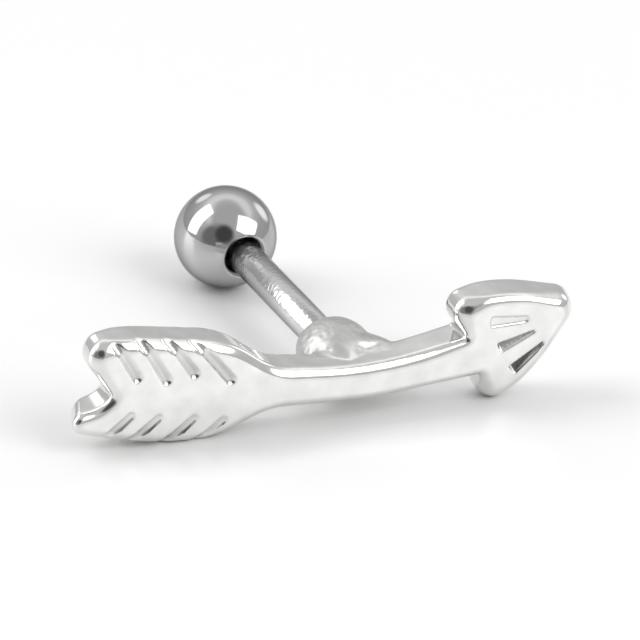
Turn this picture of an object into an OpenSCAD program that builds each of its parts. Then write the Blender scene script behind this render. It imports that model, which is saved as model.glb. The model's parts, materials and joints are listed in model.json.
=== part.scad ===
// Helix barbell: a cast, curved arrow with a straight post on its back and a screw-on ball.
// The arrow is drawn in its own plane, x towards the tip and z up, with the post's axis at (0, 0).
// Depth y runs from the arrow's front face (y = 0) along the post to the ball.
// The whole is then set down as it rests by itself: on the tail's and the barb's lower edges
// and on the ball, with the floor at z = 0.

/* [Arrow] */
// Thickness of the arrow, front face to back face
arrow_t = 1.3; // [1.1:0.05:1.6]
// Radius that rounds the front edges
front_round = 0.2; // [0.15:0.01:0.25]
// Radius that rounds the back edges
back_round = 0.22; // [0.15:0.01:0.3]
// Angle by which the prongs' ends slope, so that their backs are shorter than their fronts
prong_slope = 17; // [0:1:20]
// Angle by which the tip slopes, so that its front is shorter than its back
tip_slope = 17; // [0:1:20]
// Half the shaft's width where it bends, behind the boss
shaft_half = 0.5; // [0.45:0.01:0.6]
// Radius of the shaft's bend
bend_r = 12; // [8:0.5:16]
// Angle by which the tail rises away from the shaft
tail_angle = 5.2; // [4:0.1:8]
// Angle by which the head points up from the shaft
head_angle = 23.3; // [20:0.1:26]

/* [Grooves and recesses] */
// Radius of a tail groove's round bottom
groove_r = 0.16; // [0.12:0.01:0.2]
// Depth of a tail groove
groove_depth = 0.19; // [0.1:0.01:0.22]
// Depth of the three recesses in the head
recess_depth = 0.18; // [0.1:0.01:0.25]

/* [Boss] */
// Distance by which the boss stands up from the arrow's back
boss_h = 1.45; // [1.3:0.05:1.8]
// Radius of the boss half-way up
boss_r = 1.03; // [0.9:0.01:1.1]
// Radius of the boss's flat rim round the post
rim_r = 0.64; // [0.6:0.01:0.7]
// Depth of the post's socket below the rim
socket_depth = 1.75; // [1.4:0.05:2]
// Depth of the socket's wide mouth, in which the post's full width stands
mouth_depth = 0.1; // [0.06:0.01:0.12]

/* [Post and ball] */
// Diameter of the post
post_d = 1; // [1:0.05:1.2]
// Distance from the boss's rim to the middle of the ball
ball_reach = 6.83; // [5:0.01:9]
// Diameter of the post's stepped-down ends: the end seated in the boss, and the thread's core
core_d = 0.68; // [0.6:0.01:0.68]
// Length of the thread
thread_len = 1.9; // [1.5:0.05:2.2]
// Gap all round the post in its socket, and round the thread's core in the ball
fit_gap = 0.02; // [0.01:0.005:0.04]
// Diameter of the ball
ball_d = 3; // [3:0.1:4]
// Diameter of the countersink at the ball's mouth
sink_d = 1.3; // [1.2:0.02:1.4]
// Depth of the hole in the ball from its mouth
hole_len = 2.2; // [2:0.05:2.3]

/* [Hidden] */
eps = 0.01;
arc_step = 15;
edge_steps = 3;
round_fn = 96;

post_r = post_d / 2;
core_r = core_d / 2;
ball_r = ball_d / 2;
sink_r = sink_d / 2;

// Depths along the post from the arrow's front face
rim_y = arrow_t + boss_h;
socket_y = rim_y - socket_depth;
step_y = rim_y - mouth_depth;
ball_y = rim_y + ball_reach;
// The ball's mouth is the plane in which its countersink meets the sphere
mouth_y = ball_y - sqrt(ball_r * ball_r - sink_r * sink_r);
// The countersink narrows at 45 degrees, to the hole's own width
sink_y = mouth_y + sink_r - core_r - fit_gap;
// The bare post ends where the cone has closed in to its own width
shoulder_y = mouth_y + sink_r - post_r - 2 * fit_gap;
thread_end_y = shoulder_y + thread_len;
hole_end_y = mouth_y + hole_len;

// Places in the arrow's plane: the tail's neck, the shaft's bend, and the middle of the line
// between the barbs
neck_at = [-3.16, 0.04];
bend_at = [0.48, -0.18];
head_at = [3.61, 0.32];

// Corners of the outline are rows of: distance along, distance across, radius.
// Along the tail is measured from the neck, and along the head from the line of the barbs.
prong_top = [6.26, 1.54, 0.36];
prong_low = [6.55, 1.09, 0.36];
notch = [4.98, -0.08, 0.12];
middle_top = [4.26, 1.74, 7.8];
middle_low = [3.35, 1.64, 9.4];
// The tail's shoulder and the neck, the same above and below
tail_rows = [
    [1.32, 1.55, 3.4],
    [-0.3, 0.64, 2.4],
];
// The corner between shaft and barb, and the middle of the head's long edge
inner_row = [-0.07, 0.68, 0.08];
edge_row = [1.54, 1.43, 5.1];
barb_top = [-0.31, 1.94, 0.33];
barb_low = [-0.68, 2, 0.52];
tip_row = [3.68, 0, 0.4];
// Where the slopes start: distance of the prongs' ends from their corners, above and below,
// distance of the tip along the head, and their depths
prong_trim = [0.3, 0.47];
prong_slope_y = 0.35;
tip_end = 3.48;
tip_slope_y = 1;

// Grooves of the tail: distance along, distance across to the inner end, angle to the tail's
// centre line
groove_rows = [
    [4.22, 0.58, 51],
    [3.25, 0.47, 51],
    [2.39, 0.65, 47],
    [1.18, 0.42, 43],
    [4.19, -0.64, 47],
    [3.28, -0.73, 46],
    [2.15, -0.78, 47],
    [1.19, -0.86, 47],
];

// Recesses of the head: distance along, distance across, direction, length, half width at the
// wide end, half width at the narrow end
recess_rows = [
    [0.77, 0.93, -27, 1.16, 0.22, 0.11],
    [0.77, -0.07, -2, 1.14, 0.18, 0.05],
    [0.79, -1, 17, 1.3, 0.2, 0.08],
];

// A point of the tail, given along it from the neck and up across it
function tail_point(along, across) = neck_at + [
    -along * cos(tail_angle) + across * sin(tail_angle),
    along * sin(tail_angle) + across * cos(tail_angle)];

// A point of the head, given along it from the barbs' line and up across it
function head_point(along, across) = head_at + [
    along * cos(head_angle) - across * sin(head_angle),
    along * sin(head_angle) + across * cos(head_angle)];

function tail_corner(row, side) = concat(tail_point(row[0], side * row[1]), [row[2]]);
function head_corner(row, side) = concat(head_point(row[0], side * row[1]), [row[2]]);
function bend_corner(side) = [bend_at[0], bend_at[1] + side * shaft_half, bend_r];

// All corners of the outline, clockwise from the upper prong, in the arrow's plane
tail_n = len(tail_rows);
corners = concat(
    [tail_corner(prong_top, 1), tail_corner(middle_top, 1)],
    [for (i = [0:tail_n - 1]) tail_corner(tail_rows[i], 1)],
    [bend_corner(1), head_corner(inner_row, 1), head_corner(barb_top, 1)],
    [head_corner(edge_row, 1), head_corner(tip_row, 1), head_corner(edge_row, -1)],
    [head_corner(barb_low, -1), head_corner(inner_row, -1), bend_corner(-1)],
    [for (i = [tail_n - 1:-1:0]) tail_corner(tail_rows[i], -1)],
    [tail_corner(middle_low, -1), tail_corner(prong_low, -1), tail_corner(notch, 1)]);
corner_n = len(corners);

function flat(p) = [p[0], p[1]];
function unit(v) = v / norm(v);
function wrap(i) = (i + corner_n) % corner_n;
function way_in(i) = unit(flat(corners[i]) - flat(corners[wrap(i - 1)]));
function way_out(i) = unit(flat(corners[wrap(i + 1)]) - flat(corners[i]));
// Turn at a corner: negative where the outline turns clockwise, round a convex corner
function turn(i) = let (a = way_in(i), b = way_out(i))
    atan2(a[0] * b[1] - a[1] * b[0], a[0] * b[0] + a[1] * b[1]);
// Outward normal, to the left of a direction since the outline runs clockwise
function left_of(v) = [-v[1], v[0]];
// Centre of the arc at a corner
function arc_centre(i) = let (a = way_in(i), r = corners[i][2], s = sign(turn(i)))
    flat(corners[i]) - a * r * tan(abs(turn(i)) / 2) + left_of(a) * r * s;

// Number of steps in which a corner's arc is drawn
function arc_n(i) = max(2, ceil(abs(turn(i)) / arc_step));

// Points of the outline: x, z, outward normal x and z
outline = [for (i = [0:corner_n - 1])
    let (t = turn(i), s = sign(t), c = arc_centre(i), r = corners[i][2],
        n = arc_n(i), n0 = left_of(way_in(i)))
    for (k = [0:n])
        let (g = t * k / n, m = [n0[0] * cos(g) - n0[1] * sin(g), n0[0] * sin(g) + n0[1] * cos(g)])
        [c[0] - s * r * m[0], c[1] - s * r * m[1], m[0], m[1]]];
outline_n = len(outline);

// The outline's first and last points at a corner
function first_at(i) = len([for (j = [0:1:i - 1]) for (k = [0:arc_n(j)]) k]);
function last_at(i) = first_at(i) + arc_n(i);
// Numbers of the outline's points from one to another, clockwise
function run(a, b) = [for (k = [a:b < a ? b + outline_n : b]) k % outline_n];

// Section of the arrow's edge, from the front face to the back face: distance in from the
// outline, and depth
section = concat(
    [for (k = [0:edge_steps]) let (g = 90 * k / edge_steps)
        [front_round * (1 - sin(g)), front_round * (1 - cos(g))]],
    [for (k = [0:edge_steps]) let (g = 90 * k / edge_steps)
        [back_round * (1 - cos(g)), arrow_t - back_round * (1 - sin(g))]]);
ring_n = len(section);
// The arrow's skin: one ring of points for each row of the section
skin = [for (row = section) for (p = outline)
    [p[0] - row[0] * p[2], row[1], p[1] - row[0] * p[3]]];

// The flat faces are three fans of triangles, each about a point inside the outline: the
// tail's, the shaft's and the head's, which meet at the neck and between the barbs
neck_up = last_at(tail_n + 1);
barbs_up = first_at(tail_n + 3);
barbs_down = last_at(tail_n + 9);
neck_down = first_at(tail_n + 11);
fan_points = [tail_point(3.2, 0), bend_at, head_point(1.2, 0)];
fan_runs = [
    run(neck_down, neck_up),
    concat(run(neck_up, barbs_up), run(barbs_down, neck_down)),
    run(barbs_up, barbs_down),
];
// Triangles of the fans, clockwise: centre's number in the skin, and two points of a ring
function fans(centre, ring) = [for (f = [0:2]) let (r = fan_runs[f], m = len(r))
    for (k = [0:m - 1]) [centre + f, ring + r[k], ring + r[(k + 1) % m]]];

// How the barbell rests. A line laid under two circles, the second to the right of the first,
// makes this angle with the first axis: the circles are given as centre and radius.
function under_angle(c1, r1, c2, r2) =
    atan2(c2[1] - c1[1], c2[0] - c1[0]) + asin((r1 - r2) / norm(c2 - c1));
// Distance of that line from the origin
function under_depth(c1, r1, angle) = c1[0] * sin(angle) - c1[1] * cos(angle) + r1;

// In the arrow's plane the line touches the tail's lower shoulder and the lower barb
barb_i = tail_n + 8;
shoulder_i = barb_i + 4;
roll = under_angle(arc_centre(shoulder_i), corners[shoulder_i][2],
    arc_centre(barb_i), corners[barb_i][2]);
arrow_low = under_depth(arc_centre(shoulder_i), corners[shoulder_i][2], roll);
// Seen from the side, it touches the arrow's rounded lower edge and the ball
lean = under_angle([front_round, front_round - arrow_low], front_round, [ball_y, 0], ball_r);
axis_height = under_depth([ball_y, 0], ball_r, lean);

// Middle of the part's box, so that the origin lies under it
rolled_x = [for (p = skin) p[0] * cos(roll) + p[2] * sin(roll)];
leaned_y = [for (p = skin) p[1] * cos(lean) + (p[2] * cos(roll) - p[0] * sin(roll)) * sin(lean)];
middle_x = (min(rolled_x) + max(rolled_x)) / 2;
middle_y = (min(leaned_y) + ball_y * cos(lean) + ball_r) / 2;

// Sets a piece down from the arrow's own frame to where it rests
module rested() {
    translate([-middle_x, -middle_y, axis_height])
        rotate([-lean, 0, 0])
            rotate([0, roll, 0])
                children();
}

// A solid of revolution about the post's axis, from a profile of [radius, depth] points
module along_post(profile) {
    rotate([-90, 0, 0])
        rotate_extrude($fn = round_fn)
            polygon(profile);
}

// The arrow's body, before its grooves and recesses are sunk
module arrow_body() {
    sides = [for (k = [0:ring_n - 2]) for (i = [0:outline_n - 1])
        let (j = (i + 1) % outline_n, a = k * outline_n, b = a + outline_n)
        [a + j, a + i, b + i, b + j]];
    centres = [for (y = [0, arrow_t]) for (c = fan_points) [c[0], y, c[1]]];
    front = fans(len(skin), 0);
    back = [for (f = fans(len(skin) + 3, (ring_n - 1) * outline_n)) [f[2], f[1], f[0]]];
    polyhedron(concat(skin, centres), concat(sides, front, back));
}

// One round-bottomed groove of the tail, from its inner end out past the edge
module groove(row) {
    start = tail_point(row[0], row[1]);
    direction = 180 - tail_angle - sign(row[1]) * row[2];
    translate([start[0], groove_depth - groove_r, start[1]])
        rotate([0, -direction, 0]) {
            sphere(r = groove_r, $fn = round_fn / 2);
            rotate([0, 90, 0])
                cylinder(r = groove_r, h = 3, $fn = round_fn / 2);
        }
}

// One flat-bottomed recess of the head, wide towards the barbs and narrow towards the tip
module recess(row) {
    start = head_point(row[0], row[1]);
    translate([start[0], recess_depth, start[1]])
        rotate([0, -head_angle - row[2], 0])
            rotate([90, 0, 0])
                linear_extrude(recess_depth + eps)
                    polygon([[0, -row[4]], [row[3], -row[5]], [row[3], row[5]], [0, row[4]]]);
}

// Slope of a prong's end, from near the front face to the back face
module prong_cut(row, side, trim) {
    at = tail_point(row[0], side * row[1]);
    translate([at[0] + trim, prong_slope_y, at[1]])
        rotate([0, 0, -prong_slope])
            translate([-3, 0, -0.9])
                cube([3, 3, 1.8]);
}

// Slope of the tip, from the front face to near the back face
module tip_cut() {
    at = head_point(tip_end, 0);
    translate([at[0], tip_slope_y, at[1]])
        rotate([0, -head_angle, 0])
            rotate([0, 0, -tip_slope])
                translate([0, -3, -3])
                    cube([3, 3, 6]);
}

// Boss with a rounded rim, flaring a little onto the arrow's back and tapering inside it
module boss() {
    along_post([[0, 0.3], [shaft_half - 0.08, 0.3], [boss_r + 0.07, arrow_t],
        [boss_r + 0.03, arrow_t + 0.3], [boss_r, arrow_t + 0.6], [boss_r - 0.05, rim_y - 0.45],
        [boss_r - 0.12, rim_y - 0.25], [boss_r - 0.22, rim_y - 0.1], [rim_r, rim_y], [0, rim_y]]);
}

module arrow_top() {
    color("gainsboro")
        rested()
            difference() {
                union() {
                    arrow_body();
                    boss();
                }
                prong_cut(prong_top, 1, prong_trim[0]);
                prong_cut(prong_low, -1, prong_trim[1]);
                tip_cut();
                for (row = groove_rows)
                    groove(row);
                for (row = recess_rows)
                    recess(row);
                along_post([[0, socket_y], [core_r + fit_gap, socket_y],
                    [core_r + fit_gap, step_y], [post_r + fit_gap, step_y],
                    [post_r + fit_gap, rim_y + 1], [0, rim_y + 1]]);
            }
}

module post() {
    color("silver")
        rested()
            along_post([[0, socket_y + fit_gap], [core_r, socket_y + fit_gap],
                [core_r, step_y + fit_gap], [post_r, step_y + fit_gap],
                [post_r, shoulder_y - 0.05], [post_r - 0.05, shoulder_y],
                [core_r, shoulder_y], [core_r, thread_end_y - 0.08],
                [core_r - 0.08, thread_end_y], [0, thread_end_y]]);
}

module ball() {
    color("darkgray")
        rested()
            difference() {
                translate([0, ball_y, 0])
                    rotate([-90, 0, 0])
                        sphere(r = ball_r, $fn = round_fn);
                along_post([[0, mouth_y - 1], [sink_r, mouth_y - 1], [sink_r, mouth_y],
                    [core_r + fit_gap, sink_y], [core_r + fit_gap, hole_end_y],
                    [0, hole_end_y]]);
            }
}

arrow_top();
post();
ball();
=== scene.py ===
"""Looks of a helix barbell: a curved cast arrow, a straight steel post and a screw-on ball.

Shapes are drawn in millimetres in the arrow's own frame: x towards the tip, z up, the post's axis
at x = z = 0, and depth y from the arrow's front face (y = 0) along the post to the ball. REST
sets them down, in metres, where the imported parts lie.
"""

import json
import math

import bmesh
import bpy
from bpy.props import FloatProperty, FloatVectorProperty, PointerProperty
from mathutils import Matrix, Vector
from mathutils.bvhtree import BVHTree


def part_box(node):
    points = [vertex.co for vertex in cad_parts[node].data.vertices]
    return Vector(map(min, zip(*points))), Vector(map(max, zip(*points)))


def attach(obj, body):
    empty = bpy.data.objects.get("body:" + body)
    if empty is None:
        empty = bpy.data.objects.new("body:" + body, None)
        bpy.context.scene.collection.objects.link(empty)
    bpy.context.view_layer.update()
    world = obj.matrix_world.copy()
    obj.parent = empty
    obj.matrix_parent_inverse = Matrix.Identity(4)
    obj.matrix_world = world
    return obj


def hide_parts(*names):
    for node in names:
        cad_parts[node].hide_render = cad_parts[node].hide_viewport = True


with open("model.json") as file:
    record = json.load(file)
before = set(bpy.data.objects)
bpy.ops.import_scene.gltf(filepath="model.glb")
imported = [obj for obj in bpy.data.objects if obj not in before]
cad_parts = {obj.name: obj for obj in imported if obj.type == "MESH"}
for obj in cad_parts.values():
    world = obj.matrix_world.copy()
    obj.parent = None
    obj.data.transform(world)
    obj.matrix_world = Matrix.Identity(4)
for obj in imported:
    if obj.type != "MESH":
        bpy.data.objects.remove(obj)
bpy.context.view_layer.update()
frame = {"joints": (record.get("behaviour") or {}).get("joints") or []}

bl_info = {
    "name": "Helix barbell",
    "version": (1, 0, 0),
    "blender": (4, 5, 0),
    "location": "3D View > Sidebar > Barbell",
    "description": "Builds the arrow, the post, the ball and the table top they lie on",
    "category": "Object",
}

MM = 0.001

# Radii in millimetres: the post, its core inside the boss and under the thread, the thread's
# crest, the ball, and the mouth of the ball's countersink
POST_R, CORE_R, CREST_R, BALL_R, SINK_R = 0.5, 0.34, 0.44, 1.5, 0.65
# Clearance between a piece and the piece that it sits in
FIT_GAP = 0.02

# Depths along the post: end of the socket inside the arrow, step up to the post's full width,
# a place beyond the boss's rim, the ball's centre and mouth, and the post's shoulder in it
SOCKET_Y, STEP_Y, BEYOND_RIM_Y, BALL_Y = 1.0, 2.65, 3.2, 9.58
MOUTH_Y = BALL_Y - math.sqrt(BALL_R**2 - SINK_R**2)
SHOULDER_Y = MOUTH_Y + SINK_R - POST_R - 2 * FIT_GAP
THREAD_END_Y = SHOULDER_Y + 1.9
THREAD_PITCH = 0.225
HOLE_DEPTH = 2.2

# Facets round a groove's cutter, the boss and its socket, the post, one turn of the thread, the
# ball, and the ball's half circle from mouth to pole
GROOVE_STEPS, BOSS_STEPS, POST_STEPS, TURN_STEPS, BALL_STEPS, ARC_STEPS = 48, 96, 128, 40, 144, 72

# The jewel lies on the ball and on the arrow's lower edge: the post leans by the angle of its
# joint's axis, and the arrow rolls on to its lower shoulder and lower barb
POST_AXIS = Vector(frame["joints"][0]["axis"])
LEAN = math.atan2(POST_AXIS.z, POST_AXIS.y)
ROLL = math.radians(0.750386)


def resting_place():
    """Matrix from the arrow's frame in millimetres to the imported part's frame in metres."""
    low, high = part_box("ball")
    radius = (high[0] - low[0]) / 2
    ball = Vector(((low[0] + high[0]) / 2, high[1] - radius, radius))
    return (
        Matrix.Translation(ball)
        @ Matrix.Rotation(LEAN, 4, "X")
        @ Matrix.Rotation(ROLL, 4, "Y")
        @ Matrix.Scale(MM, 4)
        @ Matrix.Translation((0, -BALL_Y, 0))
    )


REST = resting_place()

# ---------------------------------------------------------------- the arrow's outline

# Where the tail and the head start, where the shaft bends, how far tail and head are turned, and
# half the shaft's height
NECK = Vector((-3.16, 0.041))
HEAD = Vector((3.614, 0.322))
BEND = Vector((0.482, -0.184))
TAIL_ANGLE = math.radians(5.21)
HEAD_ANGLE = math.radians(23.27)
SHAFT_HALF = 0.504


def on_tail(along, across):
    """Point of the arrow's plane, measured along the tail from the neck and up across it."""
    return NECK + Matrix.Rotation(-TAIL_ANGLE, 2) @ Vector((-along, across))


def on_head(along, across):
    """Point of the arrow's plane, measured along the head from the barbs and up across it."""
    return HEAD + Matrix.Rotation(HEAD_ANGLE, 2) @ Vector((along, across))


def on_shaft(side):
    """Point of the shaft's upper (1) or lower (-1) edge where it bends."""
    return BEND + Vector((0, side * SHAFT_HALF))


# Corners, clockwise from the upper prong: point, radius in the plan, set-back of the back edge
# towards the tip, size of the front rounding against the tail's, its last radius down to the wall,
# radius of the back rounding. Prongs, barbs and tip have round ends, the long edges tight ones.
CORNERS = [
    # Upper prong and the tail's upper edge
    (on_tail(6.47, 1.55), 0.55, 0.16, 1.1, 0.45, 0.44),
    (on_tail(4.256, 1.739), 7.8, 0, 1.0, 0.2, 0.24),
    (on_tail(1.319, 1.546), 3.4, 0, 1.0, 0.2, 0.22),
    (on_tail(-0.302, 0.636), 2.43, 0, 0.9, 0.2, 0.22),
    (on_shaft(1), 11.9, 0, 0.8, 0.2, 0.22),
    # Head: upper barb, tip, lower barb
    (on_head(-0.065, 0.677), 0.065, 0, 0.5, 0.15, 0.22),
    (on_head(-0.42, 2.0), 0.5, 0.02, 1.1, 0.5, 0.38),
    (on_head(1.535, 1.429), 5.15, 0, 0.66, 0.2, 0.22),
    (on_head(3.63, 0), 0.6, 0.36, 0.7, 0.5, 0.5),
    (on_head(1.535, -1.429), 5.15, 0, 0.8, 0.2, 0.22),
    (on_head(-0.84, -2.09), 0.55, 0.12, 1.1, 0.5, 0.4),
    (on_head(-0.065, -0.677), 0.065, 0, 0.6, 0.15, 0.22),
    (on_shaft(-1), 11.9, 0, 0.7, 0.2, 0.22),
    # The tail's lower edge, the lower prong, its bowed inner side and the notch
    (on_tail(-0.302, -0.636), 2.43, 0, 0.8, 0.2, 0.22),
    (on_tail(1.319, -1.546), 3.4, 0, 0.9, 0.2, 0.22),
    (on_tail(3.352, -1.639), 9.4, 0, 0.9, 0.2, 0.22),
    (on_tail(7.76, -0.99), 0.355, 0.55, 0.7, 0.3, 0.3),
    (on_tail(5.18, -0.476), 1.19, 0.25, 0.8, 0.15, 0.25),
    (on_tail(4.845, -0.07), 0.08, 0, 0.8, 0.15, 0.22),
]
# Degrees of a corner's turn to one facet
CORNER_STEP = 2.5

# Front rounding of the tail, as radius and end angle of each stretch from the face to the wall;
# the slow second stretch is what carries the broad highlight along the upper edge, and the last
# stretch has each corner's own radius
FRONT_ARCS = [(0.25, 25), (0.6, 47), (None, 90)]
# Degrees to one ring of the front rounding and of the back rounding
FRONT_STEP, BACK_STEP = 9, 15
# Length of outline over which one corner's roundings pass into the next one's
BLEND_REACH, BLEND_STEP = 0.35, 0.05

# Tail grooves: along, across to the inner end, angle to the tail's centre line, depth at the
# inner end, depth where the edge's rounding starts
GROOVES = [
    (4.22, 0.58, 51, 0.1, 0.07),
    (3.25, 0.47, 51, 0.1, 0.07),
    (2.39, 0.65, 47, 0.1, 0.07),
    (1.18, 0.42, 43, 0.1, 0.08),
    (4.19, -0.64, 47, 0.06, 0.1),
    (3.28, -0.73, 46, 0.06, 0.1),
    (2.15, -0.78, 47, 0.06, 0.1),
    (1.19, -0.86, 47, 0.06, 0.1),
]
# Where the edge's rounding starts across the tail, and how steeply and how far the grooves fall
# over it
ROUNDING_AT, OVER_EDGE, PAST_EDGE = 1.38, math.radians(25), 1

# Head recesses: along, across, direction, length, half width at the wide end, at the narrow end,
# depth, tilt of the floor about its length, radius of the corners
RECESSES = [
    (0.64, 0.9, -25, 1.34, 0.24, 0.14, 0.05, 0, 0.12),
    (0.64, -0.08, -2, 1.28, 0.2, 0.04, 0.13, 22, 0.04),
    (0.79, -1.0, 17, 1.3, 0.2, 0.05, 0.17, 36, 0.04),
]
# A recess's floor against its mouth, in length and width
RECESS_FLOOR = (0.92, 1, 0.7)

# Boss: half height and depth from inside the arrow out to the rim; it is wider than high
BOSS_PROFILE = [
    (0, 0.45), (0.42, 0.5), (0.58, 0.8), (0.74, 1.15), (0.87, 1.5), (0.945, 1.85),
    (0.943, 2.17), (0.879, 2.47), (0.764, 2.67), (0.641, 2.77), (0, 2.77),
]
BOSS_WIDTH = 1.186
# The boss leans towards the tail as it runs into the arrow
BOSS_FULL_Y, BOSS_LEAN = 1.85, 0.18
# Solder that runs out from the boss towards the tip: half width and depth, height, place
SOLDER_PROFILE = [
    (0, 0.8), (1.4, 1.15), (1.45, 1.4), (1.3, 1.75), (1.1, 2.05), (0.85, 2.3), (0, 2.35),
]
SOLDER_HEIGHT, SOLDER_X = 0.5, 0.3

# Grain, in millimetres, at which the cast is drawn before its cuts and after them
CAST_GRAIN, FINE_GRAIN = 0.05, 0.04
# Nothing behind this depth is cut from the face, and the boss's satin finish comes in there
BEHIND_CUTS_Y = 0.7
# Points nearer than this, in millimetres, are one point
WELD = 1e-4


# ---------------------------------------------------------------- helpers for meshes


def share(value, none, full):
    """Weight of a value: 0 at and beyond none, 1 at and beyond full, and even steps between."""
    return min(1, max(0, (value - none) / (full - none)))


def spun(points, steps):
    """Closed solid of revolution about the post's axis, from (radius, depth) points."""
    bm = bmesh.new()
    verts = [bm.verts.new((r, y, 0)) for r, y in points]
    edges = [bm.edges.new(pair) for pair in zip(verts, verts[1:])]
    bmesh.ops.spin(
        bm, geom=verts + edges, cent=(0, 0, 0), axis=(0, 1, 0), dvec=(0, 0, 0),
        angle=math.tau, steps=steps, use_merge=True, use_duplicate=False,
    )
    bmesh.ops.remove_doubles(bm, verts=bm.verts, dist=WELD)
    bmesh.ops.recalc_face_normals(bm, faces=bm.faces)
    return bm


def shape(name, bm):
    """Object made from a bmesh, in the arrow's frame, for later cutting or finishing."""
    mesh = bpy.data.meshes.new(name)
    bm.to_mesh(mesh)
    bm.free()
    obj = bpy.data.objects.new(name, mesh)
    bpy.context.scene.collection.objects.link(obj)
    return obj


def modify(obj, kind, **settings):
    """Adds one modifier with its settings."""
    modifier = obj.modifiers.new(kind.title(), kind)
    for key, value in settings.items():
        setattr(modifier, key, value)


def apply_modifiers(obj):
    """Makes an object's modifiers part of its mesh."""
    bpy.context.view_layer.update()
    depsgraph = bpy.context.evaluated_depsgraph_get()
    mesh = bpy.data.meshes.new_from_object(obj.evaluated_get(depsgraph))
    if not mesh.polygons:
        raise RuntimeError("nothing is left of " + obj.name)
    old = obj.data
    obj.modifiers.clear()
    obj.data = mesh
    bpy.data.meshes.remove(old)


def combine(obj, tools, operation):
    """Cuts tool objects out of one object, or joins them to it, and removes the tools."""
    for tool in tools:
        modify(obj, "BOOLEAN", operation=operation, object=tool, solver="MANIFOLD")
    apply_modifiers(obj)
    for tool in tools:
        mesh = tool.data
        bpy.data.objects.remove(tool)
        bpy.data.meshes.remove(mesh)


def close_slivers(obj):
    """Welds the points that a union leaves all but on each other where edges cross."""
    bm = bmesh.new()
    bm.from_mesh(obj.data)
    bmesh.ops.remove_doubles(bm, verts=bm.verts, dist=WELD)
    bm.to_mesh(obj.data)
    bm.free()


def finish_piece(obj, body, node, material):
    """Sets a piece down in the part's frame, smooth, with its finish, under its body's empty, and
    hides the imported part.
    """
    obj.data.transform(REST)
    obj.data.materials.clear()
    obj.data.materials.append(material)
    for polygon in obj.data.polygons:
        polygon.use_smooth = True
    obj.data.update()
    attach(obj, body)
    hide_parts(node)


# ---------------------------------------------------------------- the arrow


def rounded_section(front, last, back, thick):
    """Points (inset, depth) round the plate's edge, from its face to its back."""
    steps = []
    start = 0
    for radius, end in FRONT_ARCS:
        radius = radius or last / front
        count = max(2, round((end - start) / FRONT_STEP))
        for i in range(count):
            a = math.radians(start + (end - start) * i / count)
            b = math.radians(start + (end - start) * (i + 1) / count)
            steps.append((radius * (math.sin(b) - math.sin(a)),
                          radius * (math.cos(a) - math.cos(b))))
        start = end
    inset, depth = front * sum(step[0] for step in steps), 0
    points = [(inset, depth)]
    for less, more in steps:
        inset, depth = inset - front * less, depth + front * more
        points.append((inset, depth))
    for angle in range(0, 91, BACK_STEP):
        a = math.radians(angle)
        points.append((back * (1 - math.cos(a)), thick - back * (1 - math.sin(a))))
    return points


def blended(outline, values):
    """Values at the outline's points, each averaged with those within reach along the outline."""
    count = len(outline)
    gaps = [(outline[(i + 1) % count] - outline[i]).length for i in range(count)]
    out = []
    for i in range(count):
        total, weights = [0.0] * len(values[i]), 0.0
        for way in (1, -1):
            away, j = 0.0, i
            while away < BLEND_REACH:
                after = (j + way) % count
                gap = gaps[j if way == 1 else after]
                # A long gap holds the blend from its one end to its other
                pieces = max(1, math.ceil(gap / BLEND_STEP))
                for k in range(pieces):
                    part = (k + 0.5) / pieces
                    weight = max(0.0, 1 - (away + gap * part) / BLEND_REACH) * gap / pieces
                    weights += weight
                    for n in range(len(total)):
                        total[n] += weight * (values[j][n] * (1 - part) + values[after][n] * part)
                away, j = away + gap, after
        out.append([item / weights for item in total])
    return out


def rounded_outline(bm, layers):
    """The arrow's front as one face, with its corners rounded and marked with their settings."""
    verts = [bm.verts.new((row[0].x, 0, row[0].y)) for row in CORNERS]
    bm.faces.new(verts)
    for i, vert in enumerate(verts):
        point, radius, *settings = CORNERS[i]
        way_in = point - CORNERS[i - 1][0]
        way_out = CORNERS[(i + 1) % len(CORNERS)][0] - point
        turn = abs(way_in.angle_signed(way_out))
        aside = (way_out.normalized() - way_in.normalized()).normalized()
        middle = vert.co + Vector((aside.x, 0, aside.y)) * radius / math.cos(turn / 2)
        made = bmesh.ops.bevel(
            bm, geom=[vert], offset=radius * math.tan(turn / 2), offset_type="OFFSET",
            segments=max(4, round(math.degrees(turn) / CORNER_STEP)), profile=0.5,
            affect="VERTICES", clamp_overlap=False, material=-1,
        )
        for v in made["verts"]:
            # The bevel's oval arc made a circle's
            v.co = middle + (v.co - middle).normalized() * radius
            for layer, value in zip(layers, settings):
                v[layer] = value
    bm.faces.ensure_lookup_table()
    return bm.faces[0]


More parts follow.
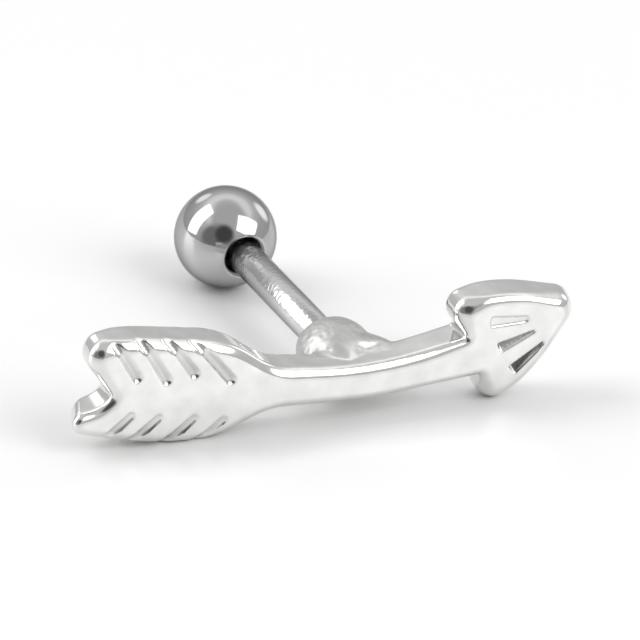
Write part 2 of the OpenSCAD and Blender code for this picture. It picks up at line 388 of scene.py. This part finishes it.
def arrow_plate(thick):
    """The arrow's curved plate: its outline rounded corner by corner, then drawn back in rings
    that follow each corner's own front and back rounding."""
    bm = bmesh.new()
    layers = [bm.verts.layers.float.new(name) for name in ("set_back", "front", "last", "back")]
    place = bm.verts.layers.int.new("place")
    cap = rounded_outline(bm, layers)
    rim = list(cap.verts)
    outline = [v.co.xz for v in rim]
    values = blended(outline, [[v[layer] for layer in layers] for v in rim])
    shifts = [row[0] for row in values]
    sections = [rounded_section(*row[1:], thick) for row in values]
    inward = []
    for i, v in enumerate(rim):
        v[place] = i
        before = (outline[i] - outline[i - 1]).normalized()
        after = (outline[(i + 1) % len(rim)] - outline[i]).normalized()
        along = (before + after).normalized()
        inward.append(Vector((along.y, 0, -along.x)))
    for row in range(len(sections[0])):
        if row:
            made = bmesh.ops.extrude_face_region(bm, geom=[cap])
            # The arrow's front stays, and the faces left behind inside it go
            if row > 1:
                bmesh.ops.delete(bm, geom=[cap], context="FACES_ONLY")
            cap = next(item for item in made["geom"] if isinstance(item, bmesh.types.BMFace))
        for v in cap.verts:
            i = v[place]
            inset, depth = sections[i][row]
            shift = shifts[i] * depth / thick
            v.co = Vector((outline[i].x + shift, depth, outline[i].y)) + inward[i] * inset
    bmesh.ops.recalc_face_normals(bm, faces=bm.faces)
    return bm


def groove_tool(r, start, way, depth, slope, length):
    """Round-ended cutter for one stretch of a groove, sloping down into the arrow's face."""
    angles = [math.radians(a) for a in range(0, 91, 15)]
    cap = [(r * math.sin(a), -r * math.cos(a)) for a in angles]
    bm = spun(cap + [(r, length), (0, length)], GROOVE_STEPS)
    turn = (Matrix.Rotation(-way, 4, "Y") @ Matrix.Rotation(slope, 4, "Z")
            @ Matrix.Rotation(-math.pi / 2, 4, "Z"))
    place = Matrix.Translation((start.x, depth - r, start.y))
    bmesh.ops.transform(bm, matrix=place @ turn, verts=bm.verts)
    return shape("groove", bm)


def groove_tools(r, along, across, angle, inner_depth, edge_depth):
    """A groove's two cutters: along the tail's face, then down over its rounded edge."""
    start = on_tail(along, across)
    way = math.pi - TAIL_ANGLE - math.copysign(math.radians(angle), across)
    reach = (ROUNDING_AT - abs(across)) / math.sin(math.radians(angle))
    bend = start + reach * Vector((math.cos(way), math.sin(way)))
    slope = math.atan((edge_depth - inner_depth) / reach)
    return [groove_tool(r, start, way, inner_depth, slope, reach),
            groove_tool(r, bend, way, edge_depth, OVER_EDGE, PAST_EDGE)]


def recess_tool(along, across, angle, length, wide, narrow, depth, tilt, corner):
    """Cutter for one wedge-shaped recess of the head, with sloping walls and a tilted floor."""
    start = on_head(along, across)
    bm = bmesh.new()
    outline = [(0, -wide), (length, -narrow), (length, narrow), (0, wide)]
    bm.faces.new([bm.verts.new((x, -0.1, z)) for x, z in outline])
    bmesh.ops.bevel(bm, geom=bm.verts[:], offset=corner, offset_type="OFFSET", segments=4,
                    profile=0.5, affect="VERTICES", material=-1)
    made = bmesh.ops.extrude_face_region(bm, geom=bm.faces[:], use_keep_orig=True)
    inner = [item for item in made["geom"] if isinstance(item, bmesh.types.BMVert)]
    bmesh.ops.scale(bm, vec=RECESS_FLOOR, verts=inner,
                    space=Matrix.Translation((-length / 2, 0, 0)))
    for v in inner:
        v.co.y = depth + v.co.z * math.tan(math.radians(tilt))
    bmesh.ops.recalc_face_normals(bm, faces=bm.faces)
    turn = Matrix.Rotation(-HEAD_ANGLE - math.radians(angle), 4, "Y")
    place = Matrix.Translation((start.x, 0, start.y))
    bmesh.ops.transform(bm, matrix=place @ turn, verts=bm.verts)
    return shape("recess", bm)


def boss_tool():
    """The boss, oval across the post, with its part inside the arrow leaning to the tail."""
    bm = spun(BOSS_PROFILE, BOSS_STEPS)
    bmesh.ops.scale(bm, vec=(BOSS_WIDTH, 1, 1), verts=bm.verts)
    for v in bm.verts:
        v.co.x -= BOSS_LEAN * max(0, BOSS_FULL_Y - v.co.y)
    return shape("boss", bm)


def solder_tool():
    """The solder beside the boss, flatter than it is wide and set towards the tip."""
    bm = spun(SOLDER_PROFILE, BOSS_STEPS)
    bmesh.ops.scale(bm, vec=(1, 1, SOLDER_HEIGHT), verts=bm.verts)
    bmesh.ops.translate(bm, vec=(SOLDER_X, 0, 0), verts=bm.verts)
    return shape("solder", bm)


def socket_tool():
    """Cutter for the stepped socket in which the post is seated."""
    core, mouth = CORE_R + FIT_GAP, POST_R + FIT_GAP
    return shape("socket", spun([
        (0, SOCKET_Y), (core, SOCKET_Y), (core, STEP_Y), (mouth, STEP_Y),
        (mouth, BEYOND_RIM_Y), (0, BEYOND_RIM_Y)], BOSS_STEPS))


def from_post(v):
    """A vertex's distance from the post's axis, as a share of the boss's half width there."""
    return math.hypot(v.co.x / BOSS_WIDTH, v.co.z)


def soften_fillet(arrow, thick):
    """Smooths the solder's fillet where the boss meets the arrow's back and top."""
    fillet = arrow.vertex_groups.new(name="fillet")
    for v in arrow.data.vertices:
        weight = share(abs(from_post(v) - 0.95), 0.7, 0.1) * share(abs(v.co.y - thick), 0.8, 0)
        if weight > 0:
            fillet.add([v.index], weight, "REPLACE")
    modify(arrow, "SMOOTH", factor=0.5, iterations=60, vertex_group="fillet")
    apply_modifiers(arrow)


def mark_finish_and_shade(arrow, uncut):
    """Marks where the polishing wheel missed, in the grooves and recesses by their depth, where its
    grey is painted shade as well as cast skin, and the satin over the boss.
    """
    unpolished_and_shade = arrow.data.attributes.new("unpolished_and_shade", "FLOAT", "POINT")
    satin = arrow.data.attributes.new("satin", "FLOAT", "POINT")
    for v, cut_skin_and_shade, on_boss in zip(arrow.data.vertices, unpolished_and_shade.data, satin.data):
        below = uncut.find_nearest(v.co)[3] if v.co.y < BEHIND_CUTS_Y else 0
        # Grey by depth below the uncut face: cast skin, and painted shade in the grooves and
        # recesses
        cut_skin_and_shade.value = share(below, 0.04, 0.14)
        on_boss.value = (share(from_post(v), 1.6, 1.0)
                         * share(v.co.y, BEHIND_CUTS_Y, BEHIND_CUTS_Y + 0.5))


def build_arrow(sizes, material):
    """Arrow with its boss, grooves and recesses, softened as a cast and polished piece is."""
    thick = sizes.thickness / MM
    arrow = shape("arrow", arrow_plate(thick))
    combine(arrow, [boss_tool(), solder_tool()], "UNION")
    modify(arrow, "REMESH", mode="VOXEL", voxel_size=CAST_GRAIN)
    apply_modifiers(arrow)
    soften_fillet(arrow, thick)
    uncut = BVHTree.FromPolygons([v.co.copy() for v in arrow.data.vertices],
                                 [p.vertices[:] for p in arrow.data.polygons])
    r = sizes.groove_width / MM / 2
    tools = [tool for row in GROOVES for tool in groove_tools(r, *row)]
    tools += [recess_tool(*row) for row in RECESSES]
    combine(arrow, tools + [socket_tool()], "DIFFERENCE")
    modify(arrow, "REMESH", mode="VOXEL", voxel_size=FINE_GRAIN)
    modify(arrow, "SMOOTH", factor=0.5, iterations=5)
    apply_modifiers(arrow)
    mark_finish_and_shade(arrow, uncut)
    finish_piece(arrow, "arrow_and_post", "arrow_top", material)


# ---------------------------------------------------------------- post and ball


def thread_ridge(start, turns):
    """One helical ridge of triangular section, closed at both ends."""
    bm = bmesh.new()
    half = THREAD_PITCH * 0.46
    root = CORE_R - 0.03
    rows = [(root, start), (CREST_R, start + half), (root, start + 2 * half)]
    verts = [bm.verts.new((r, y, 0)) for r, y in rows]
    edges = [bm.edges.new((verts[i], verts[(i + 1) % 3])) for i in range(3)]
    bmesh.ops.spin(
        bm, geom=verts + edges, cent=(0, 0, 0), axis=(0, -1, 0),
        dvec=(0, THREAD_PITCH / TURN_STEPS, 0), angle=math.tau * turns,
        steps=round(TURN_STEPS * turns), use_merge=False, use_duplicate=False,
    )
    bmesh.ops.holes_fill(bm, edges=[e for e in bm.edges if e.is_boundary], sides=3)
    bmesh.ops.recalc_face_normals(bm, faces=bm.faces)
    return bm


def build_post(material):
    """Drawn steel bar, seated in the boss, with a cut thread at the ball's end."""
    r, core = POST_R, CORE_R
    seat, step = SOCKET_Y + FIT_GAP, STEP_Y + FIT_GAP
    # Broken edges: at the step in the boss, round the shoulder in the ball, at the thread's end
    edge, shoulder, end = 0.02, 0.07, 0.06
    post = shape("post_bar", spun([
        (0, seat), (core, seat), (core, step), (r - edge, step), (r, step + edge),
        (r, SHOULDER_Y - shoulder), (r - edge, SHOULDER_Y - edge), (r - shoulder, SHOULDER_Y),
        (core, SHOULDER_Y), (core, THREAD_END_Y - end), (core - end, THREAD_END_Y),
        (0, THREAD_END_Y)], POST_STEPS))
    turns = (THREAD_END_Y - SHOULDER_Y - 0.1) / THREAD_PITCH - 1
    combine(post, [shape("ridge", thread_ridge(SHOULDER_Y + 0.03, turns))], "UNION")
    close_slivers(post)
    finish_piece(post, "arrow_and_post", "post", material)


def build_ball(material):
    """Turned steel ball with a countersunk mouth and a blind hole for the thread."""
    hole, bottom = CREST_R + FIT_GAP, MOUTH_Y + HOLE_DEPTH
    lip = 0.02
    points = [
        (0, bottom), (hole * 0.98, bottom), (hole, bottom - 0.05),
        (hole, MOUTH_Y + SINK_R - hole + lip), (SINK_R - lip, MOUTH_Y + lip),
    ]
    start = math.asin(SINK_R / BALL_R) + lip / BALL_R
    for i in range(ARC_STEPS):
        angle = start + (math.pi - start) * i / ARC_STEPS
        points.append((BALL_R * math.sin(angle), BALL_Y - BALL_R * math.cos(angle)))
    points.append((0, BALL_Y + BALL_R))
    ball = shape("ball_bead", spun(points, BALL_STEPS))
    finish_piece(ball, "ball", "ball", material)


# ---------------------------------------------------------------- materials


def linear(code):
    """Linear colour, with alpha, of an sRGB hex value."""
    out = []
    for i in (0, 2, 4):
        c = int(code.lstrip("#")[i:i + 2], 16) / 255
        out.append(c / 12.92 if c <= 0.04045 else ((c + 0.055) / 1.055) ** 2.4)
    return (*out, 1.0)


def add(tree, kind, settings=None, links=None):
    """Adds one node, with its settings by name and its inputs by socket name or number."""
    node = tree.nodes.new(kind)
    for key, value in (settings or {}).items():
        if hasattr(node, key):
            setattr(node, key, value)
        else:
            node.inputs[key].default_value = value
    for key, source in (links or {}).items():
        if isinstance(source, bpy.types.NodeSocket):
            tree.links.new(source, node.inputs[key])
        else:
            node.inputs[key].default_value = source
    return node


def new_material(name):
    """Empty node material with a Principled shader on its output."""
    material = bpy.data.materials.new(name)
    material.use_nodes = True
    tree = material.node_tree
    tree.nodes.clear()
    shader = add(tree, "ShaderNodeBsdfPrincipled")
    output = add(tree, "ShaderNodeOutputMaterial")
    tree.links.new(shader.outputs[0], output.inputs[0])
    return material, tree, shader


def silver_plating(colour):
    """Bright silver plating on a cast and hand-polished arrow: soft mirror, faint orange peel, a
    greyer cast skin where polishing didn't reach, which in the cuts is also painted shade, and
    satin solder over the boss."""
    material, tree, shader = new_material("silver plating")
    shader.inputs["Metallic"].default_value = 1.0
    place = add(tree, "ShaderNodeTexCoord").outputs["Object"]
    # Object coordinates are metres, so a scale of 1 / size draws marks of that size: clouds of
    # the polish, grain of the plating, tool marks in the cuts, and waves in the solder. The real
    # grain and tool marks are finer than the render shows, so they are drawn coarser.
    cloud, grain, marks, waves = (
        add(tree, "ShaderNodeTexNoise", {"Scale": 1 / (size * MM), "Detail": detail},
            {"Vector": place}).outputs["Fac"]
        for size, detail in ((0.7, 3.0), (0.16, 2.0), (0.07, 1.0), (0.32, 1.0)))
    # The unpolished mask carries greyer cast skin and painted shade into the cuts
    missed_and_shade, satin = (
        add(tree, "ShaderNodeAttribute", {"attribute_name": name}).outputs["Fac"]
        for name in ("unpolished_and_shade", "satin"))

    tone = add(tree, "ShaderNodeMix", {"data_type": "RGBA"},
               {"Factor": cloud, "A": linear("#F2F2F0"), "B": (*colour, 1)}).outputs[2]
    rough = add(tree, "ShaderNodeMapRange", {"To Min": 0.05, "To Max": 0.15},
                {"Value": cloud}).outputs[0]
    # What the wheel missed is greyer and scatters its reflections, and the grey laid into the cuts
    # by depth is painted shade as well as cast skin
    for part, grey, rougher in ((missed_and_shade, "#989896", 0.22), (satin, "#BEBEBC", 0.36)):
        tone = add(tree, "ShaderNodeMix", {"data_type": "RGBA"},
                   {"Factor": part, "A": tone, "B": linear(grey)}).outputs[2]
        rough = add(tree, "ShaderNodeMath", {"operation": "MULTIPLY_ADD"},
                    {0: part, 1: rougher, 2: rough}).outputs[0]
    tree.links.new(tone, shader.inputs["Base Color"])
    tree.links.new(rough, shader.inputs["Roughness"])

    # Tool marks are left standing only in the cuts, and the solder set in waves on the boss
    marks, waves = (
        add(tree, "ShaderNodeMath", {"operation": "MULTIPLY"}, {0: height, 1: part}).outputs[0]
        for height, part in ((marks, missed_and_shade), (waves, satin)))
    relief = {}
    for height, strength, depth in (
            (cloud, 0.2, 0.01), (grain, 0.15, 0.003), (marks, 0.5, 0.02), (waves, 0.8, 0.08)):
        bump = add(tree, "ShaderNodeBump", {"Strength": strength, "Distance": depth * MM},
                   {"Height": height, **relief})
        relief = {"Normal": bump.outputs[0]}
    tree.links.new(relief["Normal"], shader.inputs["Normal"])
    return material


def steel(name, colour, roughness, streak):
    """Surgical steel, greyer and darker than the plating: drawn along the post where streak is 1,
    with long fine lines and small pits, and turned and polished to a mirror where it is 0."""
    material, tree, shader = new_material(name)
    shader.inputs["Metallic"].default_value = 1.0
    shader.inputs["Base Color"].default_value = (*colour, 1)
    # Steel darkens slightly before it brightens at a grazing view
    shader.inputs["Specular Tint"].default_value = linear("#C4C4C4")
    place = add(tree, "ShaderNodeTexCoord").outputs["Object"]
    # Lines 0.09 mm apart, drawn out to 25 times that along the leaning post. Lines and pits from
    # a real drawing die are some hundredths of a millimetre and wouldn't show.
    along = add(tree, "ShaderNodeMapping", {"vector_type": "TEXTURE"}, {
        "Vector": place, "Rotation": (LEAN, 0, 0), "Scale": (1, 1 + 24 * streak, 1)}).outputs[0]
    lines = add(tree, "ShaderNodeTexNoise", {"Scale": 1 / (0.09 * MM), "Detail": 3.0},
                {"Vector": along}).outputs["Fac"]
    rough = add(tree, "ShaderNodeMapRange",
                {"To Min": roughness * 0.7, "To Max": roughness * 1.4}, {"Value": lines})
    tree.links.new(rough.outputs[0], shader.inputs["Roughness"])
    drawn = add(tree, "ShaderNodeBump", {"Strength": 0.1 + 0.3 * streak, "Distance": 0.003 * MM},
                {"Height": lines})
    specks = add(tree, "ShaderNodeTexNoise", {"Scale": 1 / (0.12 * MM), "Detail": 1.0},
                 {"Vector": place})
    pits = add(tree, "ShaderNodeBump", {"Strength": 0.8 * streak, "Distance": 0.016 * MM},
               {"Height": specks.outputs["Fac"], "Normal": drawn.outputs[0]})
    tree.links.new(pits.outputs[0], shader.inputs["Normal"])
    return material


def coated_board(colour):
    """White coated board: matt colour under a satin sheen that mirrors the soft boxes faintly."""
    material, _, shader = new_material("white coated board")
    shader.inputs["Base Color"].default_value = (*colour, 1)
    shader.inputs["Roughness"].default_value = 0.3
    return material


# ---------------------------------------------------------------- stage

# Half the table top's side and the soft boxes' distance, in metres
TABLE_HALF, LIGHT_DISTANCE = 1.5, 0.4

# The room's walls and ceiling: radiance at each elevation, in degrees
ROOM_WALLS = [(0, 0.5), (22, 0.55), (38, 0.72), (48, 1.05), (58, 1.05), (68, 0.7), (90, 0.62)]

# Darker and lighter places of the room: azimuth, elevation, full to this angle, gone by this
# angle, radiance. The camera's side is dim, with the camera itself as a dark spot in it.
ROOM_PLACES = [
    (-12, 61, 32, 48, 0.6),
    (-45, 12, 30, 46, 0.35),
    (-58, 18, 16, 28, 0.22),
    (-30, 30, 13, 26, 0.08),
    (107, 18, 6, 16, 1.5),
    (-174, 26, 6, 12, 1.4),
]

# The camera looks as the photograph does: its right and up directions in the arrow's frame, its
# pixels to the millimetre, the pixel of the arrow's origin, and the photograph's side
CAMERA_RIGHT = Vector((0.9022, -0.4209, 0.094))
CAMERA_UP = Vector((0.1108, 0.4369, 0.8927))
PIXELS_PER_MM = 34.7
ORIGIN_PIXEL = (364.2, 381)
PHOTO_SIDE = 640
# A very long lens, since the photograph shows hardly any perspective
LENS, SENSOR_WIDTH = 1500, 36


def direction(azimuth, elevation):
    """Unit vector; azimuth 0 is the arrow's front, 90 the tip's side, in degrees."""
    a, e = math.radians(azimuth), math.radians(elevation)
    return Vector((math.sin(a) * math.cos(e), -math.cos(a) * math.cos(e), math.sin(e)))


def soft_box(name, azimuth, elevation, wide, high, spin, radiance):
    """Rectangular soft box that spans the given angles, in degrees, as the jewel sees it."""
    light = bpy.data.lights.new(name, "AREA")
    light.shape = "RECTANGLE"
    light.size = 2 * LIGHT_DISTANCE * math.tan(math.radians(wide) / 2)
    light.size_y = 2 * LIGHT_DISTANCE * math.tan(math.radians(high) / 2)
    light.energy = radiance * math.pi * light.size * light.size_y
    box = bpy.data.objects.new(name, light)
    bpy.context.scene.collection.objects.link(box)
    way = direction(azimuth, elevation)
    facing = way.to_track_quat("Z", "Y").to_matrix().to_4x4()
    box.matrix_world = (Matrix.Translation(way * LIGHT_DISTANCE) @ facing
                        @ Matrix.Rotation(math.radians(spin), 4, "Z"))


def studio_room(strength):
    """Background of the room, shaded by its direction alone."""
    world = bpy.data.worlds.new("studio")
    bpy.context.scene.world = world
    world.use_nodes = True
    tree = world.node_tree
    tree.nodes.clear()
    way = add(tree, "ShaderNodeTexCoord").outputs["Generated"]
    height = add(tree, "ShaderNodeSeparateXYZ", {}, {"Vector": way}).outputs["Z"]
    walls = add(tree, "ShaderNodeValToRGB", {}, {"Fac": height})
    stops = walls.color_ramp.elements
    # A new ramp has its first and last stops already
    for _ in ROOM_WALLS[2:]:
        stops.new(0.5)
    for stop, (elevation, radiance) in zip(stops, ROOM_WALLS):
        stop.position = math.sin(math.radians(elevation))
        stop.color = (radiance, radiance, radiance, 1)
    light = walls.outputs["Color"]
    for azimuth, elevation, inner, outer, radiance in ROOM_PLACES:
        towards = add(tree, "ShaderNodeVectorMath", {"operation": "DOT_PRODUCT"},
                      {0: way, 1: direction(azimuth, elevation)})
        inside = add(tree, "ShaderNodeMapRange", {
            "interpolation_type": "SMOOTHSTEP", "From Min": math.cos(math.radians(outer)),
            "From Max": math.cos(math.radians(inner))}, {"Value": towards.outputs["Value"]})
        light = add(tree, "ShaderNodeMix", {"data_type": "RGBA"}, {
            "Factor": inside.outputs[0], "A": light,
            "B": (radiance, radiance, radiance, 1)}).outputs[2]
    glow = add(tree, "ShaderNodeBackground", {"Strength": strength}, {"Color": light})
    output = add(tree, "ShaderNodeOutputWorld")
    tree.links.new(glow.outputs[0], output.inputs[0])


def place_camera():
    """Camera at the photograph's angle, with the jewel where the photograph has it."""
    half = PHOTO_SIDE / 2
    centre = ((half - ORIGIN_PIXEL[0]) * CAMERA_RIGHT
              + (ORIGIN_PIXEL[1] - half) * CAMERA_UP) / PIXELS_PER_MM
    turn = REST.to_3x3() * (1 / MM)
    right, up, centre = turn @ CAMERA_RIGHT, turn @ CAMERA_UP, REST @ centre
    back = right.cross(up).normalized()
    data = bpy.data.cameras.new("camera")
    data.lens = LENS
    data.sensor_width = SENSOR_WIDTH
    data.clip_start, data.clip_end = 0.1, 20
    distance = PHOTO_SIDE / PIXELS_PER_MM * MM * LENS / SENSOR_WIDTH
    camera = bpy.data.objects.new("camera", data)
    bpy.context.scene.collection.objects.link(camera)
    camera.matrix_world = (Matrix.Translation(centre + back * distance)
                           @ Matrix((right, up, back)).transposed().to_4x4())
    bpy.context.scene.camera = camera


def build_stage(stage):
    """White table top, soft boxes, the room around them, and the camera."""
    bm = bmesh.new()
    bmesh.ops.create_grid(bm, x_segments=1, y_segments=1, size=TABLE_HALF)
    table = shape("table_top", bm)
    table.data.materials.append(coated_board(stage.table_colour))
    studio_room(stage.room_light)
    soft_box("key_box", 39, 38, 37, 44, 38, stage.key_light)
    soft_box("strip_box", -118, 33, 30, 56, 14, stage.strip_light)
    place_camera()
    bpy.context.scene.view_settings.view_transform = "Standard"
    bpy.context.scene.view_settings.look = "None"


# ---------------------------------------------------------------- add-on


class BARBELL_PG_sizes(bpy.types.PropertyGroup):
    """Sizes, colours and polish of the jewel"""

    thickness: FloatProperty(
        name="Thickness", description="Arrow's thickness, from its front to its back",
        unit="LENGTH", precision=5, default=1.3 * MM, min=1.0 * MM, max=1.6 * MM)
    groove_width: FloatProperty(
        name="Groove width", description="Width of the round-ended cutter of the tail's grooves",
        unit="LENGTH", precision=5, default=0.38 * MM, min=0.2 * MM, max=0.5 * MM)
    plating: FloatVectorProperty(
        name="Plating", description="Colour of the arrow's plating",
        subtype="COLOR", default=linear("#D0D0CE")[:3], min=0, max=1)
    post_steel: FloatVectorProperty(
        name="Post steel", description="Colour of the post",
        subtype="COLOR", default=linear("#B8B8B8")[:3], min=0, max=1)
    post_roughness: FloatProperty(
        name="Post roughness", description="How far the drawn post scatters its reflections",
        subtype="FACTOR", default=0.18, min=0, max=1)
    ball_steel: FloatVectorProperty(
        name="Ball steel", description="Colour of the ball",
        subtype="COLOR", default=linear("#BCBCBC")[:3], min=0, max=1)
    ball_roughness: FloatProperty(
        name="Ball roughness", description="How far the polished ball scatters its reflections",
        subtype="FACTOR", default=0.09, min=0, max=1)


class BARBELL_PG_stage(bpy.types.PropertyGroup):
    """Light and table"""

    room_light: FloatProperty(
        name="Room light", description="Brightness of the room", default=1.12, min=0, max=3)
    key_light: FloatProperty(
        name="Key light", description="Brightness of the front soft box",
        default=2.8, min=0, max=20)
    strip_light: FloatProperty(
        name="Strip light", description="Brightness of the side strip",
        default=2.8, min=0, max=20)
    table_colour: FloatVectorProperty(
        name="Table", description="Colour of the table top",
        subtype="COLOR", default=linear("#EEEEEE")[:3], min=0, max=1)


class BARBELL_OT_arrow(bpy.types.Operator):
    """Build the arrow with its boss, grooves and recesses"""

    bl_idname = "barbell.arrow"
    bl_label = "Arrow"

    def execute(self, context):
        sizes = context.scene.barbell_sizes
        build_arrow(sizes, silver_plating(sizes.plating))
        return {"FINISHED"}


class BARBELL_OT_post(bpy.types.Operator):
    """Build the post with its thread"""

    bl_idname = "barbell.post"
    bl_label = "Post"

    def execute(self, context):
        sizes = context.scene.barbell_sizes
        build_post(steel("drawn surgical steel", sizes.post_steel, sizes.post_roughness, 1.0))
        return {"FINISHED"}


class BARBELL_OT_ball(bpy.types.Operator):
    """Build the ball with its countersunk hole"""

    bl_idname = "barbell.ball"
    bl_label = "Ball"

    def execute(self, context):
        sizes = context.scene.barbell_sizes
        build_ball(steel("polished surgical steel", sizes.ball_steel, sizes.ball_roughness, 0.0))
        return {"FINISHED"}


class BARBELL_OT_stage(bpy.types.Operator):
    """Set up the table top, the lights and the camera"""

    bl_idname = "barbell.stage"
    bl_label = "Stage"

    def execute(self, context):
        build_stage(context.scene.barbell_stage)
        return {"FINISHED"}


class BARBELL_PT_panel(bpy.types.Panel):
    """Sizes of the barbell and a button for each piece"""

    bl_label = "Barbell"
    bl_space_type = "VIEW_3D"
    bl_region_type = "UI"
    bl_category = "Barbell"

    def draw(self, context):
        for group in (context.scene.barbell_sizes, context.scene.barbell_stage):
            for name in group.__annotations__:
                self.layout.prop(group, name)
        for name in ("stage", "arrow", "post", "ball"):
            self.layout.operator("barbell." + name)


CLASSES = (BARBELL_PG_sizes, BARBELL_PG_stage, BARBELL_OT_arrow, BARBELL_OT_post,
           BARBELL_OT_ball, BARBELL_OT_stage, BARBELL_PT_panel)


def register():
    """Adds the operators, the panel, and the scene's sizes and stage."""
    for cls in CLASSES:
        bpy.utils.register_class(cls)
    bpy.types.Scene.barbell_sizes = PointerProperty(type=BARBELL_PG_sizes)
    bpy.types.Scene.barbell_stage = PointerProperty(type=BARBELL_PG_stage)


def unregister():
    """Takes away all that register() adds."""
    del bpy.types.Scene.barbell_stage
    del bpy.types.Scene.barbell_sizes
    for cls in reversed(CLASSES):
        bpy.utils.unregister_class(cls)


def main():
    """Builds the stage and the pieces."""
    register()
    bpy.ops.barbell.stage()
    bpy.ops.barbell.arrow()
    bpy.ops.barbell.post()
    bpy.ops.barbell.ball()


if __name__ == "__main__":
    main()
